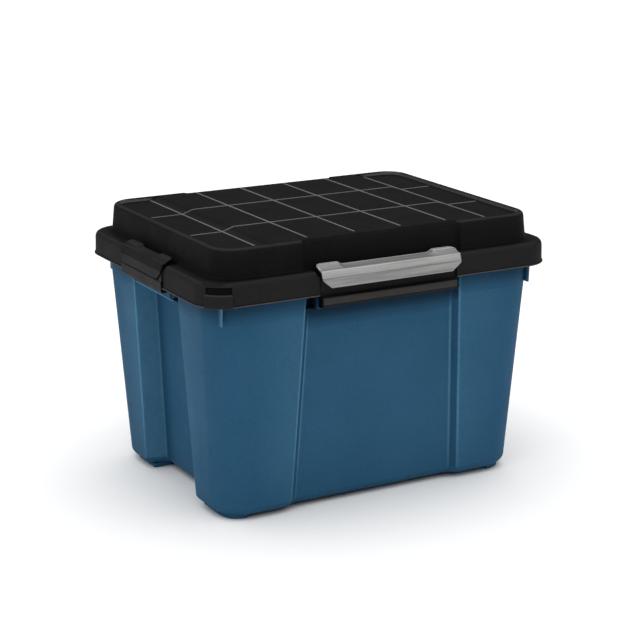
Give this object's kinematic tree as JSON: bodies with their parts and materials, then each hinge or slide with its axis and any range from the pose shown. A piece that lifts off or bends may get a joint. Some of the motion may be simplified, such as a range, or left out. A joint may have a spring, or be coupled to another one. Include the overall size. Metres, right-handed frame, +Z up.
{
  "type": "latching lid tote",
  "caption": "Tapered rectangular storage tote with a lift-off raised lid held by a hinged clip latch on every side.",
  "frame": {"origin": "centre of the footprint, on the surface the corner feet stand on", "axes": "+X along the long side, +Z up, -Y out of the front long side"},
  "size_m": [0.525, 0.402, 0.3643],
  "materials": {
    "tub_blue": "moulded polypropylene, fine satin grain",
    "lid_black": "moulded polypropylene, satin",
    "latch_black": "moulded plastic, satin",
    "grip_silver": "silver-grey metallic paint look on moulded plastic",
    "pin_steel": "plain steel rod",
    "seal_rubber": "soft matt rubber"
  },
  "bodies": {
    "tub": {"tub_body": "tub_blue"},
    "lid": {"lid_shell": "lid_black", "lid_seal": "seal_rubber", "front_latch_pin_a": "pin_steel", "front_latch_pin_b": "pin_steel", "rear_latch_pin_a": "pin_steel", "rear_latch_pin_b": "pin_steel", "left_latch_pin_a": "pin_steel", "left_latch_pin_b": "pin_steel", "right_latch_pin_a": "pin_steel", "right_latch_pin_b": "pin_steel"},
    "front_latch": {"front_latch_arm": "latch_black", "front_latch_grip": "grip_silver"},
    "rear_latch": {"rear_latch_arm": "latch_black", "rear_latch_grip": "grip_silver"},
    "left_latch": {"left_latch_arm": "latch_black", "left_latch_grip": "latch_black"},
    "right_latch": {"right_latch_arm": "latch_black", "right_latch_grip": "latch_black"}
  },
  "joints": [
    {"name": "lid_lift", "type": "slide", "parent": "tub", "child": "lid", "axis": [0, 0, 1], "range_m": [0, 0.3]},
    {"name": "front_latch_hinge", "type": "hinge", "parent": "lid", "child": "front_latch", "pos_m": [0, -0.179, 0.3265], "axis": [-1, 0, 0], "range_deg": [0, 110]},
    {"name": "rear_latch_hinge", "type": "hinge", "parent": "lid", "child": "rear_latch", "pos_m": [0, 0.179, 0.3265], "axis": [1, 0, 0], "range_deg": [0, 110]},
    {"name": "left_latch_hinge", "type": "hinge", "parent": "lid", "child": "left_latch", "pos_m": [-0.2445, 0, 0.3265], "axis": [0, 1, 0], "range_deg": [0, 110]},
    {"name": "right_latch_hinge", "type": "hinge", "parent": "lid", "child": "right_latch", "pos_m": [0.2445, 0, 0.3265], "axis": [0, -1, 0], "range_deg": [0, 110]}
  ]
}
